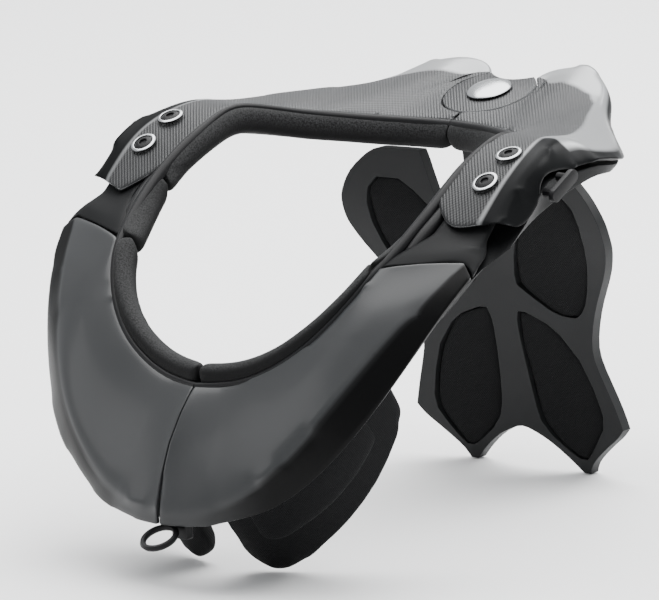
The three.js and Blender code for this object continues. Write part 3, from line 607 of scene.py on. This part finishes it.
def bevel(piece, width, angle, segments=2):
    """Rounds the edges that fold by at least an angle in degrees."""
    apply_modifier(
        piece, "BEVEL", width=width, segments=segments,
        limit_method="ANGLE", angle_limit=math.radians(angle))


def paint(piece, name, rule):
    """Writes a value for each point as an attribute that the finish reads."""
    layer = piece.data.attributes.new(name, "FLOAT", "POINT")
    for point, value in zip(piece.data.vertices, layer.data):
        value.value = rule(point)


def sharpen(piece, name, rule):
    """Narrows a painted value after subdivision, so that it follows the piece's own lines."""
    values = piece.data.attributes[name].data
    for point, value in zip(piece.data.vertices, values):
        value.value = rule(point, value.value)


def middle_of(piece):
    return sum((point.co for point in piece.data.vertices), Vector()) / len(piece.data.vertices)


def hand_over(piece, finish, body, *nodes):
    """Gives a piece its finish, the body it rides on and the solids it stands for."""
    piece.data.materials.clear()
    piece.data.materials.append(finishes[finish])
    if nodes:
        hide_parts(*nodes)
    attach(piece, body)
    piece.select_set(False)


def creased_copy(node, name, finish, body, fold):
    """A thin hard piece, rounded by subdivision and held along its folds."""
    piece = welded(node, name)
    crease_folds(piece, (fold,))
    subdivide(piece, 2)
    shade_smooth(piece)
    hand_over(piece, finish, body, node)


def bevelled_copy(node, name, finish, body, width, angle):
    """A thick hard piece, bevelled and then rounded once more."""
    piece = welded(node, name)
    bevel(piece, width, angle)
    subdivide(piece, 1)
    shade_smooth(piece)
    hand_over(piece, finish, body, node)


# Front shell --------------------------------------------------------------------

# Crease along the bib, sideways and up, from the middle to the arm.
BIB_CREASE = (
    (-15.0, -51.7), (0.0, -51.7), (15.0, -52.7), (30.0, -50.7), (43.0, -44.0),
    (55.6, -32.8), (65.8, -21.2), (76.0, -7.0), (87.0, 11.4), (98.4, 31.6),
    (107.5, 48.1), (114.0, 57.1), (120.0, 66.0),
)
PAST_CREASE = 2.2
SHORT_OF_CREASE = -3
SHELL_FOLDS = ((55, 0.45), (68, 0.25))


def signed_gap(x, y, line):
    """How far a place lies outside a drawn line, which is on the line's right."""
    nearest, outside = math.inf, 1
    for (ax, ay), (bx, by) in zip(line, line[1:]):
        run = (bx - ax, by - ay)
        share = ((x - ax) * run[0] + (y - ay) * run[1]) / (run[0] ** 2 + run[1] ** 2)
        share = min(max(share, 0), 1)
        gap = math.hypot(x - ax - share * run[0], y - ay - share * run[1])
        if gap < nearest:
            nearest = gap
            outside = 1 if run[1] * (x - ax) - run[0] * (y - ay) > 0 else -1
    return nearest * outside


def past_bib_crease(place):
    x, _, z = drawn(place)
    return signed_gap(x, z, BIB_CREASE)


def below_crease(point):
    return float(past_bib_crease(point.co) > PAST_CREASE)


def bib_face(place):
    """The broad face of the bib, between the neck edge and the crease."""
    return past_bib_crease(place) < SHORT_OF_CREASE


def shade_below_crease(point, value):
    """Painted shade below the crease of the bib: crisp beside the arm, soft and weaker at the
    front.
    """
    side = smooth_step(drawn(point.co)[0], 12, 58)
    full_at = 0.16 + 0.6 * (1 - side)
    depth = 0.3 + 0.7 * side
    return smooth_step(value, 0.04, full_at) * depth


def front_shell(side):
    piece = welded(f"front_shell_{side}", f"bib_shell_{side}")
    crease_folds(piece, SHELL_FOLDS)
    # Marks the side wall below the crease, where painted shade goes.
    paint(piece, "flank_shade", below_crease)
    ease_line(piece, on_hem, 4)
    ease_line(piece, on_crease, 7)
    ease_area(piece, bib_face, 4)
    crease_line(piece, "flank_shade", 0, 0.5)
    subdivide(piece, 3)
    sharpen(piece, "flank_shade", shade_below_crease)
    shade_smooth(piece)
    hand_over(piece, "gloss_shell", f"{side}_half", f"front_shell_{side}")


# Rear shell ---------------------------------------------------------------------

# Border of the woven plate, sideways and along, from the tongue to the hub.
FACET_LINE = (
    (108.6, 62.0), (108.6, 75.0), (108.6, 82.5), (108.4, 89.5), (107.0, 102.5),
    (104.2, 116.0), (100.8, 128.0), (99.0, 139.0), (98.4, 151.0), (93.0, 165.0),
    (84.0, 181.0), (73.8, 197.5), (64.8, 214.0), (52.8, 223.3), (36.0, 227.3),
    (26.4, 230.0), (14.0, 234.0), (0.0, 236.0),
)

# Outer border of the bare rim, in the same way.
RIM_LINE = (
    (119.5, 62.0), (119.5, 72.8), (119.6, 82.0), (119.0, 90.0), (117.2, 103.0),
    (113.5, 116.0), (110.0, 128.0), (106.8, 139.0), (109.4, 150.0), (111.0, 163.8),
    (98.4, 183.8), (81.6, 200.8), (66.0, 217.0), (54.0, 235.5), (37.8, 244.0),
    (20.4, 242.5), (0.0, 242.0),
)
TONGUE_END = 131
LOBE_START = 203
HUB_ALONG = 217
DISC_REACH = 25.4
# Strength of the shade painted on the tongue's plate.
TONGUE_SHADE = 0.62


def beyond_line(place, line):
    """How far a point lies outside a line, seen from above."""
    x, y, _ = drawn(place)
    return signed_gap(x, y, line)


def inside_plate(point):
    """1 on the woven plate, up to the facet line."""
    return float(beyond_line(point.co, FACET_LINE) < 1.2)


def outside_rim(point):
    """1 outside the facet line on the tongue, and outside the rim further back: where shade is
    painted.
    """
    on_tongue = drawn(point.co)[1] < TONGUE_END
    line, least = (FACET_LINE, 1.8) if on_tongue else (RIM_LINE, 1.2)
    return float(beyond_line(point.co, line) > least)


def shade_of_plate(point, value):
    """Woven on the upper side only, with a crisp border."""
    return smooth_step(value, 0.82, 0.97) * (point.normal.z > 0.2)


def shade_of_flank(point, value):
    """Painted shade: darker side wall and underside, and a plate that grows darker towards the
    tip of the tongue.
    """
    tongue = TONGUE_SHADE * (1 - smooth_step(drawn(point.co)[1], 86, 158))
    underside = 1 - smooth_step(point.normal.z, -0.1, 0.1)
    return max(smooth_step(value, 0.05, 0.5), tongue, underside)


def beside_hub(place):
    """The plate just outside the disc, where the lobe runs into the hub."""
    x, along, _ = drawn(place)
    from_disc = math.hypot(x, along - HUB_ALONG)
    on_plate = beyond_line(place, FACET_LINE) < -0.4
    return along > LOBE_START and from_disc > DISC_REACH and on_plate


def blended_area(place):
    """The side wall of the tongue and the whole plate, where the shell has no fold."""
    outside = beyond_line(place, FACET_LINE)
    return (outside > 1.5 and drawn(place)[1] < 172) or outside < -1.5


def raise_corner(piece, corner):
    """Lifts and rounds the lower front corner of the tongue's side wall."""
    edit(piece)
    select_where(piece, "verts", lambda point: (point.co - corner).length < 0.0045)
    bpy.ops.transform.translate(
        value=(0, 0.001, 0.0064), use_proportional_edit=True,
        proportional_edit_falloff="SMOOTH", proportional_size=0.0105)
    leave()


def rear_shell(side, sign):
    piece = welded(f"rear_shell_{side}", f"wing_shell_{side}")
    ease_area(piece, beside_hub, 10, corner=180)
    ease_area(piece, blended_area, 5)
    raise_corner(piece, from_edge(sign * 121.8, 76, 62))
    crease_folds(piece, SHELL_FOLDS)
    paint(piece, "woven", inside_plate)
    # Marks where shade is painted: outside the rim, and on the tongue's side wall.
    paint(piece, "flank_shade", outside_rim)
    crease_line(piece, "woven", 1, 0.4)
    crease_line(piece, "flank_shade", 0, 0.3)
    subdivide(piece, 3)
    sharpen(piece, "woven", shade_of_plate)
    sharpen(piece, "flank_shade", shade_of_flank)
    shade_smooth(piece)
    hand_over(piece, "satin_shell", f"{side}_half", f"rear_shell_{side}")


# Trim along the neck ------------------------------------------------------------

# Upper edge of the neck opening, from the front to the hub.
NECK_EDGE = (
    (0.0, 0.0, 0.0), (13.6, 2.2, 0.8), (26.4, 4.5, 3.8), (37.2, 7.0, 8.4),
    (47.2, 10.0, 14.3), (55.7, 14.2, 21.2), (62.8, 19.0, 28.7), (68.6, 25.0, 36.5),
    (73.2, 31.5, 44.4), (75.9, 38.5, 51.2), (78.5, 48.0, 57.6), (80.6, 60.0, 66.1),
    (81.9, 73.0, 74.5), (81.6, 87.8, 83.1), (80.8, 99.2, 88.6), (80.2, 111.8, 93.3),
    (79.8, 122.0, 96.2), (78.6, 130.0, 96.6), (75.8, 138.5, 95.0), (70.5, 147.5, 92.7),
    (62.0, 157.5, 90.0), (50.0, 169.5, 87.7), (36.0, 179.5, 85.7), (18.0, 187.0, 84.8),
    (0.3, 189.5, 84.6),
)
NECK_MIDDLE = 95
LIP_INSET = 0.9
LIP_RISE = 0.3
GASKET_START, GASKET_END = 44, 121
GASKET_OFFSET = 3.3


def edge_tube(name, side, knots):
    """A tube through drawing places, each with its radius in millimetres."""
    bpy.ops.curve.primitive_nurbs_path_add()
    tube = bpy.context.object
    tube.name = name
    path = tube.data
    path.splines.clear()
    line = path.splines.new("NURBS")
    line.points.add(len(knots) - 1)
    for knot, (x, y, z, radius) in zip(line.points, knots):
        knot.co = (*from_edge(x, y, z), 1)
        knot.radius = radius
    line.order_u = 3
    line.use_endpoint_u = True
    line.resolution_u = 4
    path.bevel_depth = 0.001
    path.bevel_resolution = 2
    path.use_fill_caps = True
    bpy.ops.object.convert(target="MESH")
    bpy.ops.object.shade_smooth()
    hand_over(tube, "black_plastic", f"{side}_half")


def neck_tubes(side, sign):
    """The lip along the neck edge, and the gasket between the arm plate and its pad."""
    lip, gasket = [], []
    for x, y, z in NECK_EDGE:
        inward = Vector((-x, NECK_MIDDLE - y, 0)).normalized()
        beside_arm = smooth_step(y, 30, 50) * (1 - smooth_step(y, 95, 120))
        radius = 1.6 + 1.3 * beside_arm + 0.9 * smooth_step(y, 150, 170)
        lip.append((
            sign * (x + LIP_INSET * inward.x), y + LIP_INSET * inward.y,
            z + LIP_RISE - radius, radius))
        if GASKET_START < y < GASKET_END:
            full = smooth_step(y, 44, 56) * (1 - smooth_step(y, 106, 120))
            gasket.append((
                sign * (x - GASKET_OFFSET * inward.x), y - GASKET_OFFSET * inward.y,
                z - 8 + 1.6 * full, 1 + 2.4 * full))
    edge_tube(f"neck_lip_{side}", side, lip)
    edge_tube(f"arm_gasket_{side}", side, gasket)


# Hub, screws and small parts ----------------------------------------------------


def rounded_copy(node, name, finish, body, width):
    piece = welded(node, name)
    bevel(piece, width, 35, segments=3)
    shade_flat_folds(piece)
    hand_over(piece, finish, body, node)


def ring_share(radius, inner, outer):
    """1 between two radii, with a narrow fade on both sides."""
    begin = smooth_step(radius, inner - 0.25, inner + 0.1)
    return begin * (1 - smooth_step(radius, outer - 0.1, outer + 0.25))


def turned_copy(node, name, finish, body, inner, outer):
    """A turned metal piece, bright between two radii in millimetres, with painted shade past the
    outer one.
    """
    piece = welded(node, name)
    crease_folds(piece, ((60, 0.2),))
    subdivide(piece, 2)
    middle = middle_of(piece)
    paint(piece, "polished_inside_shaded_rim",
          lambda point: ring_share((point.co - middle).length * 1000, inner, outer))
    shade_smooth(piece)
    hand_over(piece, finish, body, node)


def hub_cover():
    piece = welded("hub_cover", "hub_disc")
    bevel(piece, 0.0004, 40)
    paint(piece, "woven", lambda point: float(point.normal.z > 0.6))
    # The disc has no painted shade.
    paint(piece, "flank_shade", lambda point: 0.0)
    shade_flat_folds(piece)
    hand_over(piece, "satin_shell", "hub", "hub_cover")


def small_parts():
    # The button's thin outer rim past 10.4 mm is painted shade.
    turned_copy("hub_button", "hub_button_cap", "bright_metal", "hub", 0, 10.4)
    rounded_copy("hub_base", "hub_mount", "black_plastic", "hub", 0.0008)
    rounded_copy("front_latch", "latch_block", "black_plastic", "left_half", 0.001)
    rounded_copy("pull_ring", "pull_loop", "black_plastic", "left_half", 0.0001)
    for side, _ in SIDES:
        body = f"{side}_half"
        rounded_copy(f"strap_hook_{side}", f"strap_bar_{side}", "black_plastic", body, 0.0007)
        for place in ("front", "rear"):
            spot = f"{place}_{side}"
            # Each washer is black inside 4.6 mm, its own colour, and has a painted shade line
            # past 5.9 mm.
            turned_copy(f"screw_ring_{spot}", f"washer_{spot}", "bright_metal", body, 4.6, 5.9)
            rounded_copy(f"screw_{spot}", f"socket_screw_{spot}", "black_plastic", body, 0.0001)


# Pads ---------------------------------------------------------------------------

PANEL_SHARE = 0.8
COLLAR_FOLD = (75, 0.5)
CUSHION_FOLD = (60, 0.45)
PANEL_FOLD = (60, 0.22)
SPINE_FOLD = (60, 0.4)

# Slope of the surface at which each collar pad's speckled band starts and is full.
COLLAR_BANDS = (("front", (0.25, 0.75)), ("side", (0.2, 0.8)), ("rear", (-0.3, 0.4)))


def draw_in(piece, cushion):
    """Draws a raised panel in from the border of the cushion that it lies on."""
    middle = middle_of(piece)
    outward = (middle - middle_of(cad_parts[cushion])).normalized()
    foot = min((point.co - middle).dot(outward) for point in piece.data.vertices)
    edit(piece)
    bpy.ops.mesh.select_all(action="SELECT")
    bpy.ops.transform.resize(value=(PANEL_SHARE,) * 3, center_override=middle + outward * foot)
    leave()


def soft_copy(node, name, finish, body, fold, cushion=None, band=(0.2, 0.7)):
    """A pad, rounded by subdivision. A raised panel names the cushion that it lies on."""
    piece = welded(node, name)
    if cushion:
        draw_in(piece, cushion)
    crease_folds(piece, (fold,))
    subdivide(piece, 3)
    paint(piece, "upper", lambda point: smooth_step(point.normal.z, *band))
    shade_smooth(piece)
    hand_over(piece, finish, body, node)


def pads():
    for side, _ in SIDES:
        body = f"{side}_half"
        for part, band in COLLAR_BANDS:
            soft_copy(f"{part}_collar_pad_{side}", f"collar_{part}_{side}", "pad_foam",
                      body, COLLAR_FOLD, band=band)
        soft_copy(f"chest_pad_{side}", f"chest_cushion_{side}", "pad_textile",
                  body, CUSHION_FOLD)
        soft_copy(f"chest_block_{side}", f"chest_panel_{side}", "pad_textile",
                  body, PANEL_FOLD, cushion=f"chest_pad_{side}")
        for level in ("upper", "lower"):
            soft_copy(f"{level}_spine_pad_{side}", f"back_pad_{level}_{side}", "pad_textile",
                      "hub", SPINE_FOLD)


# The brace ----------------------------------------------------------------------

set_camera()
set_light()
lay_floor(floor_finish())
for side, sign in SIDES:
    body = f"{side}_half"
    front_shell(side)
    creased_copy(f"arm_plate_{side}", f"arm_bridge_{side}", "matte_frame", body, (35, 0.8))
    rear_shell(side, sign)
    bevelled_copy(f"lower_frame_{side}", f"tray_{side}", "matte_frame", body, 0.0008, 40)
    creased_copy(f"front_liner_{side}", f"bib_liner_{side}", "black_plastic", body, (45, 0.7))
    neck_tubes(side, sign)
bevelled_copy("stabiliser", "spine_plate", "spine_frame", "hub", 0.0015, 42)
hub_cover()
small_parts()
pads()
